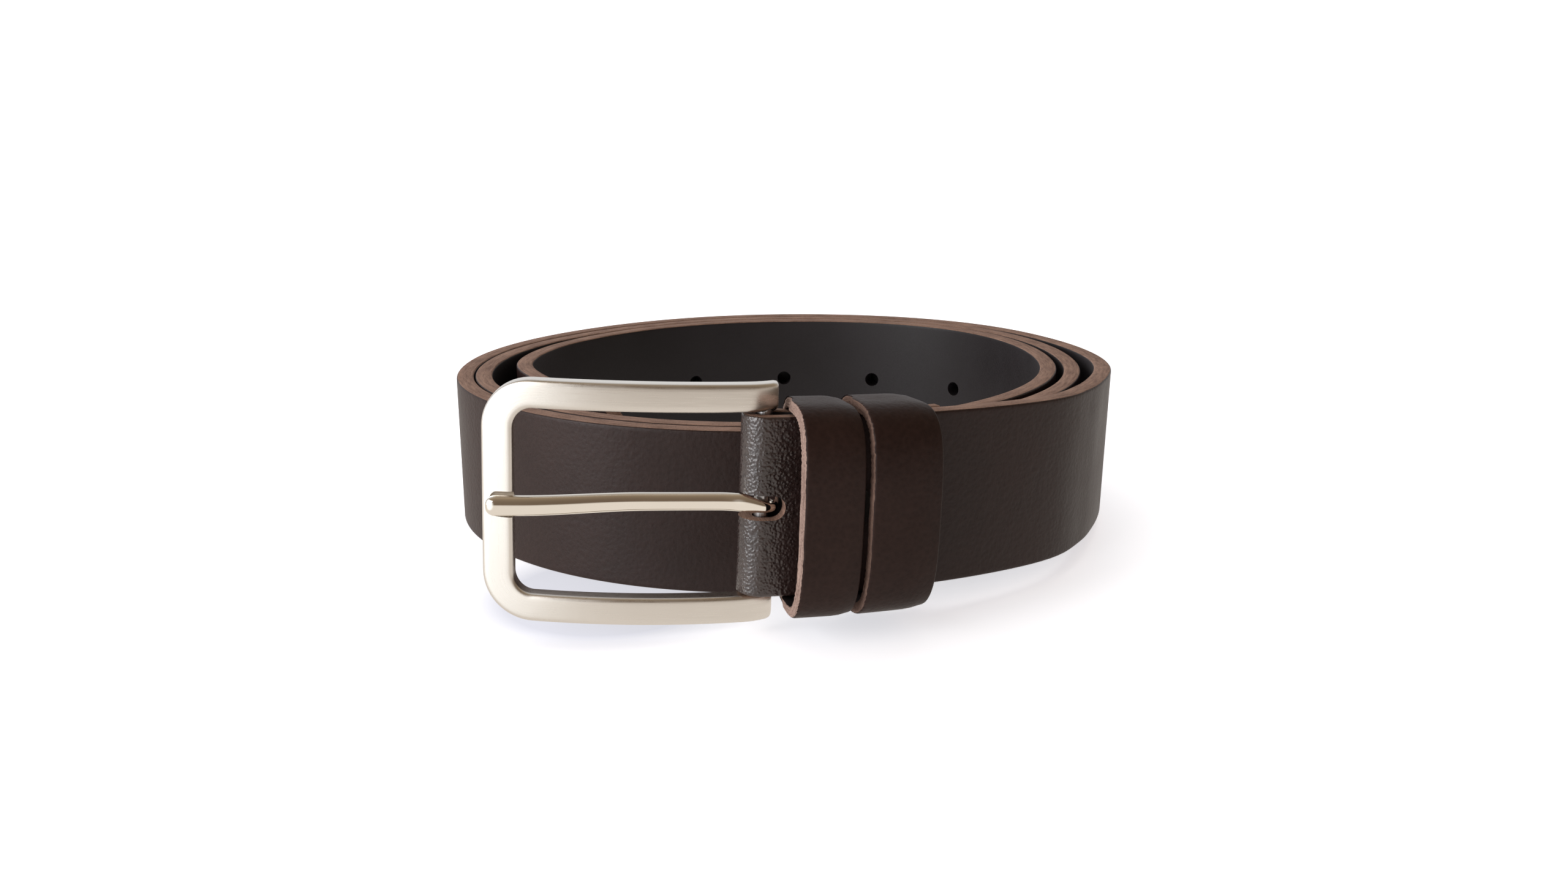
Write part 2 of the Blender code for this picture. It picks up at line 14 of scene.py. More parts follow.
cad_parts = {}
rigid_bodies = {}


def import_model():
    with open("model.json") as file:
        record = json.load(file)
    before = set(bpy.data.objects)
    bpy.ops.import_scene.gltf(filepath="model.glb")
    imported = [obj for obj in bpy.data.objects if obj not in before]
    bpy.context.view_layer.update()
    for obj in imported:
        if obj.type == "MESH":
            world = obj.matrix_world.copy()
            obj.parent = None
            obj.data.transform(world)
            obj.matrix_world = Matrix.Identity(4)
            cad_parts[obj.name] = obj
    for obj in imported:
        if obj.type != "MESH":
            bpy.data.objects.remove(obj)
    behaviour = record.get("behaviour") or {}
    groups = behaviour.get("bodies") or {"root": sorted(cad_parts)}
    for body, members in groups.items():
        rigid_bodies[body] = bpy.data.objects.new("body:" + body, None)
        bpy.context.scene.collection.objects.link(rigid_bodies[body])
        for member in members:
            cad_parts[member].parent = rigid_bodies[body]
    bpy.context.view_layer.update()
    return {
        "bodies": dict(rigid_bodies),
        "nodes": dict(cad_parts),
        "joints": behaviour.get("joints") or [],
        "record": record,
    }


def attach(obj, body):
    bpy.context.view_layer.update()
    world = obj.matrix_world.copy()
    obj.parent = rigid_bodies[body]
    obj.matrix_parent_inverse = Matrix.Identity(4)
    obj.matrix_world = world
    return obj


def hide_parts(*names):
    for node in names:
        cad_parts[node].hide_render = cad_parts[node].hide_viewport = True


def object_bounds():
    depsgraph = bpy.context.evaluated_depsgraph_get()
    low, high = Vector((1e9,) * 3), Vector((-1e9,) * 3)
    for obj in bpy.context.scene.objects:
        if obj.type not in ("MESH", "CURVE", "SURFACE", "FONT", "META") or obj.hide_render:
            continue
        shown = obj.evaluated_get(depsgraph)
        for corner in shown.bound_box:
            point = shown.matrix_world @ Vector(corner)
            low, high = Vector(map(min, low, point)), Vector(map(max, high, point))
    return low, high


MM = 0.001
GRAIN, FLESH, CUT, FOLDED = 0, 1, 2, 3       # the places of a leather piece's materials

# Strap
STRAP_WIDTH = 35.0 * MM
STRAP_THICKNESS = 4.1 * MM
FOLD_THICKNESS = 2.6 * MM
FLAP_LENGTH = 38.0 * MM              # of the end that is folded back behind the strap
SKIVE_START, SKIVE_END = 3.0 * MM, 11.0 * MM     # from the bar, where the leather thickens
EDGE_ROUND = 0.45 * MM               # rounding of the leather's cut edges
HOLE_RADIUS = 2.0 * MM
HOLE_TURNS = (853.0, 876.0, 900.0, 925.5, 949.5)     # degrees round the coil
SLOT_HEIGHT = 4.8 * MM               # a little tighter than the plain solid's slot
SLOT_REACH = 3.7 * MM                # along the strap from the bar
BENT_HARD = 0.5                      # how far bent, from 0 to 1, leather has to be to show creases
TIP_REACH = 12.0 * MM                # how far back the rounding of the tip begins
TIP_TRIM = 0.5 * MM                  # what the rounding takes off the strap's very end

# The coil: degrees round it from the front, and the radius of the grain face in millimetres
COIL_STATIONS = (
    (30, 89.8), (40, 88.9), (50, 86.6), (60, 83.6), (70, 81.8), (80, 81.2), (92, 81.3),
    (112, 81.9), (135, 81.2), (180, 75.8), (225, 75.0), (270, 80.7), (290, 82.0),
    (315, 80.4), (360, 75.2), (405, 73.6), (450, 74.9), (495, 76.5), (540, 70.9), (585, 70.2),
    (630, 76.2), (650, 77.6), (675, 75.9), (720, 70.7), (765, 67.5), (810, 69.2),
    (855, 71.9), (900, 66.2), (945, 65.6), (990, 68.3), (1012, 64.2), (1030, 62.6), (1046, 62.0),
)
TURN_STEP = 2.0                      # degrees between the strap's cross-sections
JOIN_START, JOIN_END = 32.0, 50.0    # degrees where the end arc becomes the coil
TIP_TURN = 1046.0
SETTLE_START, SETTLE_END = 50.0, 118.0   # degrees where the strap comes down to the floor

# The buckle end: an arc in plan, in a leaning plane
ARC_CENTRE = Vector((-34.0, 38.0, 0.0)) * MM
ARC_RADIUS = 140.8 * MM              # of the grain face
BAR_ANGLE = math.radians(-77.4)
BAR_HEIGHT = 26.0 * MM
LEAN = math.radians(2.7)
LEAN_HEADING = math.radians(38.0)    # the plane goes down this way
BAR_RADIUS = 1.5 * MM
GAP = 0.3 * MM
FOLD_RADIUS = BAR_RADIUS + GAP + FOLD_THICKNESS
FRAME_YAW = math.radians(3.5)
FRAME_OPENING = 35.7 * MM
ARM_HEIGHT = 5.4 * MM
END_BAR_WIDTH = 6.0 * MM
FRAME_DEPTH = 4.6 * MM
FRAME_REACH = 52.4 * MM
KNUCKLE_REACH = 2.6 * MM             # how far the arms go past the bar
CORNER_RADIUS = 6.6 * MM
FRAME_BOW = 3.0 * MM
ARM_END_ROLL, ARM_END_ROLL_START = 1.7 * MM, 3.0 * MM    # the arms' ends curve back to the bar
PRONG_RING_RADIUS = 3.1 * MM
PRONG_HEIGHT = 3.8 * MM
PRONG_DEPTH = 2.8 * MM
PRONG_TIP = 51.4 * MM
PRONG_TIP_ROUND = 2.0 * MM
PRONG_SET = 0.8 * MM                 # how far in front of the bar's middle the shaft starts
PRONG_RISE = 2.7 * MM                # how far it then comes forward, to lie on the end bar
PRONG_RISE_START, PRONG_RISE_END = 22.0 * MM, 45.0 * MM
PRONG_DROP = 1.2 * MM                # how far the shaft slopes down to its tip
PRONG_SQUARENESS = 0.85              # 1 is an ellipse, less is squarer
NOTCH_INSET = 1.2 * MM
NOSE_TAPER = 0.56                    # how much of its height the prong loses at the curl
NOTCH_ROUND = 1.6 * MM               # how long the notch's rounded end is
FRAME_FRONT_POWER, FRAME_BACK_POWER = 7.0, 4.0

# Keepers and screws
KEEPER_THICKNESS = 2.2 * MM
KEEPER_EDGE_ROUND = 0.4 * MM
KEEPER_STARTS = {"keeper_fixed": 4.2 * MM, "keeper_free": 16.5 * MM}
KEEPER_WIDTHS = {"keeper_fixed": 10.9 * MM, "keeper_free": 13.4 * MM}
KEEPER_HALF_HEIGHT = 19.4 * MM       # of the leather's middle
KEEPER_FRONT = 10.3 * MM             # from the strap's grain face
KEEPER_BACK = 10.3 * MM
KEEPER_FRONT_POWER, KEEPER_BACK_POWER = 3.4, 5.0
BUTT_GAP = 0.5 * MM
KEEPER_BEVELS = {"keeper_fixed": 0.5 * MM, "keeper_free": 0.1 * MM}    # the left edge's slant
KEEPER_DIP = 0.45 * MM               # how far the grain rolls down towards a keeper's right edge
KEEPER_RAGGED = 0.16 * MM            # how uneven the left edge is
KEEPER_BACK_TRIM = 0.8 * MM          # off the left edge behind the strap, to clear the buckle's arms
SCREW_PLACES = (16.1 * MM, 28.8 * MM)
POST_HOLE_RADIUS = 2.75 * MM

BELT_MIDDLE = Vector((0.1, -16.9, 0.0)) * MM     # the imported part's origin, in the coil's coordinates

# The stage, in metres
FLOOR_HALF_SIZE = 6.0
WALL_RADIUS, WALL_HEIGHT = 5.0, 8.0
LAMP_AIM = Vector((0.0, 0.0, 0.02))
PAINTED_SHADE_CENTRE = (-0.037, -0.060, 0.0)             # centre of the painted shade, on the floor between the buckle and the coil
PAINTED_SHADE_NEAR, PAINTED_SHADE_FAR = 21.0 * MM, 33.0 * MM     # where the painted shade there begins to fade, and ends

# Camera: over the coil's centre line, looking slightly down
CAMERA_PLACE = Vector((0.0, -340.34, 101.14)) * MM
CAMERA_DOWN = math.radians(14.40)
CAMERA_LENS = 30.94

# The room's tones by direction, from the front right (0) to the back left (1)
ROOM_TONES = (
    (0.0, (0.17, 0.125, 0.09)),
    (0.5, (0.36, 0.28, 0.195)),
    (0.70, (0.45, 0.42, 0.39)),
    (0.80, (0.56, 0.55, 0.55)),
    (0.95, (0.85, 0.86, 0.88)),
)
ROOM_BACK = (-0.33, 0.94, 0.0)
TABLE_TONE = (0.86, 0.80, 0.74)                  # below the horizon
HORIZON_DROP = 0.12                              # how soon the table replaces the room
GLOW_TONE = (1.45, 1.48, 1.50)                   # a bright wall at the front left
GLOW_HEADING = (-0.72, -0.69, 0.0)
GLOW_START, GLOW_FULL = 0.80, 0.97


def smooth_step(x, start, end):
    t = min(1.0, max(0.0, (x - start) / (end - start)))
    return t * t * (3.0 - 2.0 * t)


def spread(start, end, count):
    return [start + (end - start) * i / (count - 1) for i in range(count)]


# ---------------------------------------------------------------- where things are

def end_frame():
    """The leaning frame of the buckle end, on the heel bar, in the coil's coordinates."""
    bar = ARC_CENTRE + (ARC_RADIUS - FOLD_RADIUS) * Vector(
        (math.cos(BAR_ANGLE), math.sin(BAR_ANGLE), 0.0)
    )
    axis = Vector((-math.sin(LEAN_HEADING), math.cos(LEAN_HEADING), 0.0))
    return Matrix.Translation(bar + Vector((0.0, 0.0, BAR_HEIGHT))) @ Matrix.Rotation(LEAN, 4, axis)


END = end_frame()
BAR = Vector((END.translation.x, END.translation.y, 0.0))
TO_ROW = Matrix.Translation(-BELT_MIDDLE)      # from the coil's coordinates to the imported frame's


def in_end(x, y, height):
    return END @ Vector((x - BAR.x, y - BAR.y, height))


def arc_plan(along, outward):
    angle = BAR_ANGLE + along / ARC_RADIUS
    return ARC_CENTRE + (ARC_RADIUS + outward) * Vector((math.cos(angle), math.sin(angle), 0.0))


def arc_point(along, outward, height):
    """Beside the end arc: along the strap from the bar, out from its grain face, and up."""
    point = arc_plan(along, outward)
    return in_end(point.x, point.y, height)


def coil_radius(turn):
    """The grain face's radius, by a cubic through the stations with central slopes."""
    stations = COIL_STATIONS
    i = 0
    while i < len(stations) - 2 and turn > stations[i + 1][0]:
        i += 1

    def slope(k):
        low, high = max(k - 1, 0), min(k + 1, len(stations) - 1)
        return (stations[high][1] - stations[low][1]) / (stations[high][0] - stations[low][0])

    (start, r0), (end, r1) = stations[i], stations[i + 1]
    span = end - start
    t = (turn - start) / span
    rise = (
        (2 * t**3 - 3 * t**2 + 1) * r0
        + (t**3 - 2 * t**2 + t) * span * slope(i)
        + (-2 * t**3 + 3 * t**2) * r1
        + (t**3 - t**2) * span * slope(i + 1)
    )
    return rise * MM


def arc_reach(angle):
    toward = ARC_CENTRE.x * math.cos(angle) + ARC_CENTRE.y * math.sin(angle)
    return toward + math.sqrt(toward**2 - ARC_CENTRE.length_squared + ARC_RADIUS**2)


def coil_point(turn):
    """A point of the grain face in plan."""
    angle = math.radians(turn - 90.0)
    radius = coil_radius(max(turn, COIL_STATIONS[0][0]))
    if turn < JOIN_END:
        share = smooth_step(turn, JOIN_START, JOIN_END)
        radius = (1.0 - share) * arc_reach(angle) + share * radius
    return Vector((radius * math.cos(angle), radius * math.sin(angle), 0.0))


def on_coil(point, turn, height):
    """Lifts a plan point: leaning by the buckle, then standing on the floor."""
    share = smooth_step(turn, SETTLE_START, SETTLE_END)
    leaning = in_end(point.x, point.y, height)
    standing = Vector((point.x, point.y, STRAP_WIDTH / 2 + height))
    return leaning.lerp(standing, share)


# ---------------------------------------------------------------- mesh helpers

def mesh_object(name, bm):
    mesh = bpy.data.meshes.new(name)
    bm.to_mesh(mesh)
    bm.free()
    obj = bpy.data.objects.new(name, mesh)
    bpy.context.scene.collection.objects.link(obj)
    return obj


def loft(name, rings, materials=None):
    """A solid through rings of points. materials gives a material number for each ring segment.

    The map "run" holds the distance along the rings and the distance round them, in metres.
    """
    bm = bmesh.new()
    run = bm.loops.layers.uv.new("run")
    rows = [[bm.verts.new(point) for point in ring] for ring in rings]
    count = len(rows[0])
    around = [0.0]
    for a, b in zip(rings[0], rings[0][1:] + rings[0][:1]):
        around.append(around[-1] + (Vector(b) - Vector(a)).length)
    along = 0.0
    for low, high in zip(rows, rows[1:]):
        step = (high[0].co - low[0].co).length
        for i in range(count):
            j = (i + 1) % count
            face = bm.faces.new((low[i], low[j], high[j], high[i]))
            face.material_index = materials[i] if materials else 0
            places = ((along, around[i]), (along, around[i + 1]))
            places += ((along + step, around[i + 1]), (along + step, around[i]))
            for corner, place in zip(face.loops, places):
                corner[run].uv = place
        along += step
    for face in (bm.faces.new(reversed(rows[0])), bm.faces.new(rows[-1])):
        face.material_index = CUT if materials else 0
    bmesh.ops.recalc_face_normals(bm, faces=bm.faces)
    return mesh_object(name, bm)


def leather_section(low, high, depth, radius, splits):
    """The outline of a leather strip: points (across, depth from the grain face) and their sides.

    A side is GRAIN with its rounding, FLESH or the CUT edge.
    """
    points, sides = [], []
    support = 2.2 * radius
    flat = spread(low + support, high - support, splits)
    corners = (
        (high - radius, -radius, 90, (GRAIN, GRAIN, CUT, CUT)),
        (high - radius, radius - depth, 0, (CUT, CUT, FLESH, FLESH)),
        (low + radius, radius - depth, 270, (FLESH, CUT, CUT, CUT)),
        (low + radius, -radius, 180, (CUT, GRAIN, GRAIN, GRAIN)),
    )
    for across in flat:
        points.append((across, 0.0))
        sides.append(GRAIN)
    for x, y, start, kinds in corners:
        for step, kind in enumerate(kinds):
            angle = math.radians(start - 30 * step)
            points.append((x + radius * math.cos(angle), y + radius * math.sin(angle)))
            sides.append(kind)
        if start == 0:
            for across in reversed(flat):
                points.append((across, -depth))
                sides.append(FLESH)
    return points, sides


def cylinder(name, radius, start, end, segments=40):
    start, end = Vector(start), Vector(end)
    along = end - start
    bm = bmesh.new()
    bmesh.ops.create_cone(
        bm, cap_ends=True, segments=segments, radius1=radius, radius2=radius, depth=along.length
    )
    turn = along.to_track_quat("Z", "Y").to_matrix().to_4x4()
    bmesh.ops.transform(bm, matrix=Matrix.Translation((start + end) / 2) @ turn, verts=bm.verts)
    return mesh_object(name, bm)


def capsule(name, radius, start, end):
    """A bar from start to end with a rounded end, as long as NOTCH_ROUND, beyond it."""
    along = (end - start).normalized()
    side = along.orthogonal().normalized()
    up = along.cross(side)
    stations = [(start, 1.0)]
    for degrees in range(0, 90, 10):
        angle = math.radians(degrees)
        stations.append((end + NOTCH_ROUND * math.sin(angle) * along, math.cos(angle)))
    rings = []
    for centre, size in stations:
        ring = []
        for degrees in range(0, 360, 8):
            angle = math.radians(degrees)
            ring.append(centre + size * radius * (math.cos(angle) * side + math.sin(angle) * up))
        rings.append(ring)
    return loft(name, rings)


def cut(obj, cutters):
    """Takes the cutters' shapes out of the object, and removes the cutters."""
    for cutter in cutters:
        modifier = obj.modifiers.new("cut", "BOOLEAN")
        modifier.operation = "DIFFERENCE"
        modifier.solver = "EXACT"
        modifier.object = cutter
    bpy.context.view_layer.update()
    evaluated = obj.evaluated_get(bpy.context.evaluated_depsgraph_get())
    mesh = bpy.data.meshes.new_from_object(evaluated)
    obj.modifiers.clear()
    obj.data = mesh
    for cutter in cutters:
        bpy.data.objects.remove(cutter, do_unlink=True)


def rounded(cosine, power):
    """A coordinate of a rounded rectangle: power 2 is a circle, more is squarer."""
    return math.copysign(abs(cosine) ** (2 / power), cosine)


def place(obj, body, node, slot, materials, crease=40.0):
    """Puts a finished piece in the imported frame, on its body, standing for its CAD node.

    Edges sharper than crease, in degrees, stay sharp.
    """
    obj.data.transform(TO_ROW)
    if not obj.data.materials:
        for mat in materials:
            obj.data.materials.append(mat)
    obj.data.shade_smooth()
    obj.data.set_sharp_from_angle(angle=math.radians(crease))
    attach(obj, body)
    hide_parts(node)
    return obj


# ---------------------------------------------------------------- materials

class Nodes:
    """A short way to write a node tree."""

    def __init__(self, tree):
        self.tree = tree

    def add(self, kind, **values):
        node = self.tree.nodes.new(kind)
        for key, value in values.items():
            if key in node.inputs:
                node.inputs[key].default_value = value
            else:
                setattr(node, key, value)
        return node

    def link(self, source, target):
        self.tree.links.new(source, target)

    def noise(self, where, scale, detail=3.0, rough=0.5):
        node = self.add("ShaderNodeTexNoise", Scale=scale, Detail=detail, Roughness=rough)
        self.link(where, node.inputs["Vector"])
        return node.outputs["Fac"]

    def cells(self, where, scale):
        node = self.add("ShaderNodeTexVoronoi", feature="SMOOTH_F1", Scale=scale)
        self.link(where, node.inputs["Vector"])
        return node.outputs["Distance"]

    def ramp(self, factor, stops):
        node = self.add("ShaderNodeValToRGB")
        elements = node.color_ramp.elements
        while len(elements) < len(stops):
            elements.new(0.5)
        for element, (position, colour) in zip(elements, stops):
            element.position = position
            element.color = (*colour, 1.0)
        self.link(factor, node.inputs["Fac"])
        return node.outputs["Color"]

    def remap(self, factor, low, high, start=0.0, end=1.0, ease="LINEAR"):
        node = self.add("ShaderNodeMapRange", interpolation_type=ease)
        for key, value in zip(("From Min", "From Max", "To Min", "To Max"), (start, end, low, high)):
            node.inputs[key].default_value = value
        self.link(factor, node.inputs["Value"])
        return node.outputs["Result"]

    def vector(self, operation, source, other):
        node = self.add("ShaderNodeVectorMath", operation=operation)
        node.inputs[1].default_value = other
        self.link(source, node.inputs[0])
        return node.outputs["Value"]

    def mix(self, share, below, above):
        node = self.add("ShaderNodeMixRGB", Color2=(*above, 1.0))
        self.link(share, node.inputs["Fac"])
        self.link(below, node.inputs["Color1"])
        return node.outputs["Color"]

    def maths(self, operation, a, b):
        node = self.add("ShaderNodeMath", operation=operation)
        for socket, value in zip(node.inputs, (a, b)):
            if isinstance(value, float):
                socket.default_value = value
            else:
                self.link(value, socket)
        return node.outputs["Value"]

    def bump(self, height, strength, distance, under=None):
        node = self.add("ShaderNodeBump", Strength=strength, Distance=distance)
        self.link(height, node.inputs["Height"])
        if under is not None:
            self.link(under, node.inputs["Normal"])
        return node.outputs["Normal"]

    def stretched(self, source, scale):
        node = self.add("ShaderNodeMapping")
        node.inputs["Scale"].default_value = scale
        self.link(source, node.inputs["Vector"])
        return node.outputs["Vector"]


class Surface(Nodes):
    """A new material and its nodes."""

    def __init__(self, name):
        self.material = bpy.data.materials.new(name)
        self.material.use_nodes = True
        super().__init__(self.material.node_tree)
        self.shader = self.tree.nodes["Principled BSDF"]

    def place(self):
        return self.add("ShaderNodeTexCoord").outputs["Object"]

    def run(self):
        return self.add("ShaderNodeUVMap", uv_map="run").outputs["UV"]

    def done(self, colour, roughness, normal=None, **constants):
        for source, name in ((colour, "Base Color"), (roughness, "Roughness"), (normal, "Normal")):
            if source is None:
                continue
            if isinstance(source, (float, tuple)):
                self.shader.inputs[name].default_value = source
            else:
                self.link(source, self.shader.inputs[name])
        for name, value in constants.items():
            self.shader.inputs[name.replace("_", " ")].default_value = value
        return self.material


def grain_leather(name, dark, light, roughness, pebble, gloss, bent=False):
    """Finished leather: small pebbles in a fine grain, with soft changes of tone and gloss.

    Where the leather is bent hard its pebbles stand out, with short creases across the bend.
    """
    n = Surface(name)
    where = n.place()
    tone = n.noise(where, 42.0, 4.0, 0.6)
    fine = n.noise(where, 2600.0, 2.0)
    cells = n.cells(where, 1150.0)
    creases = n.noise(n.stretched(where, (1.0, 1.0, 0.45)), 420.0, 3.0, 0.6)
    mottled = n.maths("ADD", n.maths("MULTIPLY", tone, 0.75), n.maths("MULTIPLY", cells, 0.35))
    colour = n.ramp(mottled, ((0.30, dark), (0.72, light)))
    rough = n.remap(n.maths("ADD", tone, n.maths("MULTIPLY", fine, 0.5)), roughness - 0.07,
                    roughness + 0.09, 0.4, 1.1)
    height = n.maths("ADD", n.maths("MULTIPLY", cells, pebble), n.maths("MULTIPLY", fine, 0.22))
    normal = n.bump(n.maths("ADD", height, n.maths("MULTIPLY", creases, 0.6)), 0.6, 0.22 * MM)
    if bent:
        big = n.cells(where, 1900.0)
        folds = n.noise(n.stretched(where, (1.0, 1.0, 2.0)), 330.0, 3.0, 0.65)
        swell = n.maths("ADD", n.maths("MULTIPLY", big, -1.0), n.maths("MULTIPLY", folds, 0.8))
        normal = n.bump(swell, 0.9, 0.17 * MM, normal)
    return n.done(colour, rough, normal, Specular_IOR_Level=gloss)


def flesh_leather():
    """The strap's satin lining side."""
    n = Surface("strap_flesh")
    where = n.place()
    tone = n.noise(where, 30.0, 5.0, 0.6)
    nap = n.noise(where, 1900.0, 3.0, 0.6)
    colour = n.ramp(tone, ((0.3, (0.0085, 0.0062, 0.0070)), (0.7, (0.0140, 0.0112, 0.0130))))
    rough = n.remap(n.maths("ADD", tone, nap), 0.46, 0.62, 0.7, 1.3)
    return n.done(colour, rough, n.bump(nap, 0.22, 0.10 * MM), Specular_IOR_Level=0.34)


def raw_edge(name, dark, light, fibre=1.0):
    """Cut leather: fibres that run along the strap in layers, with pits between them."""
    n = Surface(name)
    run = n.run()
    layers = n.noise(n.stretched(run, (160.0, 2600.0, 1.0)), 1.0, 4.0, 0.65)
    pits = n.noise(n.place(), 2400.0, 3.0, 0.7)
    tone = n.noise(n.place(), 90.0, 4.0, 0.6)
    mix = n.maths("ADD", n.maths("MULTIPLY", layers, 0.5), n.maths("MULTIPLY", pits, 0.32))
    mix = n.maths("ADD", mix, n.maths("MULTIPLY", tone, 0.24))
    middle = tuple((a + b) / 2 for a, b in zip(dark, light))
    colour = n.ramp(mix, ((0.36, dark), (0.53, middle), (0.72, light)))
    normal = n.bump(n.maths("ADD", layers, pits), 0.55 * fibre, 0.28 * MM)
    return n.done(colour, n.remap(pits, 0.72, 0.95), normal, Specular_IOR_Level=0.25)


def nickel(name, tint, roughness, brushed):
    """Nickel plate: fine brush lines along the casting, slight waves and a few scuffs."""
    n = Surface(name)
    where = n.place()
    lines = n.noise(n.stretched(n.run(), (120.0, 5200.0, 1.0)), 1.0, 3.0, 0.6)
    wave = n.noise(where, 85.0, 2.0)
    scuffs = n.noise(where, 650.0, 4.0, 0.7)
    colour = n.ramp(n.maths("ADD", n.maths("MULTIPLY", wave, 0.6), n.maths("MULTIPLY", scuffs, 0.4)),
                    ((0.3, tuple(0.97 * c for c in tint)), (0.7, tint)))
    mixed = n.maths("ADD", n.maths("MULTIPLY", lines, 0.8), n.maths("MULTIPLY", scuffs, 0.2))
    rough = n.remap(mixed, roughness - 0.05, roughness + 0.07, 0.3, 0.7)
    normal = n.bump(wave, 0.05, 0.3 * MM)
    normal = n.bump(lines, brushed, 0.02 * MM, normal)
    return n.done(colour, rough, normal, Metallic=1.0)


def floor_material():
    """White paper that glows a little, with a lavender painted shade behind the buckle."""
    n = Surface("floor")
    away = n.vector("DISTANCE", n.place(), PAINTED_SHADE_CENTRE)
    # painted shade: the paper is darker and lavender close to the shade centre, white further off
    colour = n.ramp(n.remap(away, 0.0, 1.0, PAINTED_SHADE_NEAR, PAINTED_SHADE_FAR),
                    ((0.0, (0.22, 0.225, 0.29)), (1.0, (0.88, 0.885, 0.91))))
    glow = (0.94, 0.95, 1.0, 1.0)
    return n.done(colour, 0.55, Specular_IOR_Level=0.3, Emission_Color=glow, Emission_Strength=0.62)


# ---------------------------------------------------------------- strap

def strap_stations():
    """Plan points along the grain face: (point, turn, thickness, how hard it is bent)."""
    stations = []
    for along in spread(FLAP_LENGTH, 1.0 * MM, 38):
        settle = smooth_step(along, 0.0, SKIVE_END)
        outer = -2 * FOLD_RADIUS + settle * (2 * FOLD_RADIUS - STRAP_THICKNESS - GAP - FOLD_THICKNESS)
        bent = 1.0 - smooth_step(along, 2.0 * MM, 14.0 * MM)
        stations.append((arc_plan(along, outer), 0.0, FOLD_THICKNESS, bent))
    for degrees in range(0, 181, 6):
        angle = BAR_ANGLE + math.radians(180.0 + degrees)
        around = Vector((math.cos(angle), math.sin(angle), 0.0))
        stations.append((BAR + FOLD_RADIUS * around, 0.0, FOLD_THICKNESS, 1.0))
    for along in spread(1.0 * MM, 39.0 * MM, 39):
        skive = smooth_step(along, SKIVE_START, SKIVE_END)
        thickness = FOLD_THICKNESS + skive * (STRAP_THICKNESS - FOLD_THICKNESS)
        bent = 1.0 - smooth_step(along, 4.0 * MM, 16.0 * MM)
        stations.append((arc_plan(along, 0.0), 0.0, thickness, bent))
    last = stations[-1][0]
    first_turn = math.degrees(math.atan2(last.y, last.x)) + 90.0
    turn = math.ceil(first_turn / TURN_STEP + 0.4) * TURN_STEP
    while turn < TIP_TURN - 0.5:
        stations.append((coil_point(turn), turn, STRAP_THICKNESS, 0.0))
        turn += TURN_STEP
    stations.append((coil_point(TIP_TURN), TIP_TURN, STRAP_THICKNESS, 0.0))
    return stations


def build_strap(materials):
    stations = strap_stations()
    rings, bends = [], []         # bends: how hard the leather is bent, for each point
    for i, (point, turn, thickness, bent) in enumerate(stations):
        before, after = stations[max(i - 1, 0)][0], stations[min(i + 1, len(stations) - 1)][0]
        heading = (after - before).normalized()
        outward = Vector((heading.y, -heading.x, 0.0))
        section, sides = leather_section(
            -STRAP_WIDTH / 2, STRAP_WIDTH / 2, thickness, EDGE_ROUND, 6
        )
        rings.append([on_coil(point + depth * outward, turn, height) for height, depth in section])
        bends += [bent] * len(section)
    strap = loft("strap_leather", rings, sides)
    for face in strap.data.polygons:
        if face.material_index == GRAIN and bends[face.vertices[0]] > BENT_HARD:
            face.material_index = FOLDED
    for mat in materials:
        strap.data.materials.append(mat)
    cutters = [slot_cutter(), tip_cutter()]
    walls = [CUT, CUT]
    for turn in HOLE_TURNS:
        centre = coil_point(turn)
        ends = [on_coil(centre * reach, turn, 0.0) for reach in (1.03, 0.90)]
        cutters.append(cylinder(f"hole {turn:g}", HOLE_RADIUS, *ends))
        # the holes' walls take the dark flesh finish instead of the cut edge: painted shade inside the
        # holes
        walls.append(FLESH)
    for along in SCREW_PLACES:
        ends = [arc_point(along, outward, 0.0) for outward in (2.0 * MM, -9.0 * MM)]
        cutters.append(cylinder("screw hole", POST_HOLE_RADIUS, *ends))
        walls.append(CUT)
    for cutter, wall in zip(cutters, walls):
        for mat in materials:
            cutter.data.materials.append(mat)
        for face in cutter.data.polygons:
            face.material_index = wall
    cut(strap, cutters)
    return place(strap, "belt", "strap", "strap_leather", materials)


def slot_cutter():
    """The prong's slot, which opens the fold from its front to its back."""
    half = SLOT_HEIGHT / 2
    outline = [(-2 * FOLD_RADIUS, -half), (SLOT_REACH - half, -half)]
    for degrees in range(-80, 90, 8):
        angle = math.radians(degrees)
        outline.append((SLOT_REACH - half + half * math.cos(angle), half * math.sin(angle)))
    outline += [(SLOT_REACH - half, half), (-2 * FOLD_RADIUS, half)]
    rings = [[arc_point(x, outward, z) for x, z in outline] for outward in (1.0 * MM, -9.6 * MM)]
    return loft("prong slot", rings)


def tip_cutter():
    """What is trimmed from the strap's square end to leave a rounded tip."""
    edge = coil_point(TIP_TURN)
    back = coil_point(TIP_TURN - 6.0)
    along = (edge - back).normalized()
    across = Vector((along.y, -along.x, 0.0))
    radius = STRAP_WIDTH / 2
    beyond, side = 6.0 * MM, STRAP_WIDTH
    outline = [(-TIP_REACH, -side), (beyond, -side), (beyond, side), (-TIP_REACH, side)]
    outline.append((-TIP_REACH, radius))
    for degrees in range(84, -90, -6):
        angle = math.radians(degrees)
        x = -TIP_REACH + (TIP_REACH - TIP_TRIM) * math.cos(angle)
        outline.append((x, radius * math.sin(angle)))
    outline.append((-TIP_REACH, -radius))
    middle = edge + Vector((0.0, 0.0, STRAP_WIDTH / 2))
    rings = []
    for offset in (-9.0 * MM, 4.0 * MM):
        rings.append([middle + x * along + offset * across + Vector((0, 0, z)) for x, z in outline])
    return loft("tip trim", rings)


# ---------------------------------------------------------------- keepers

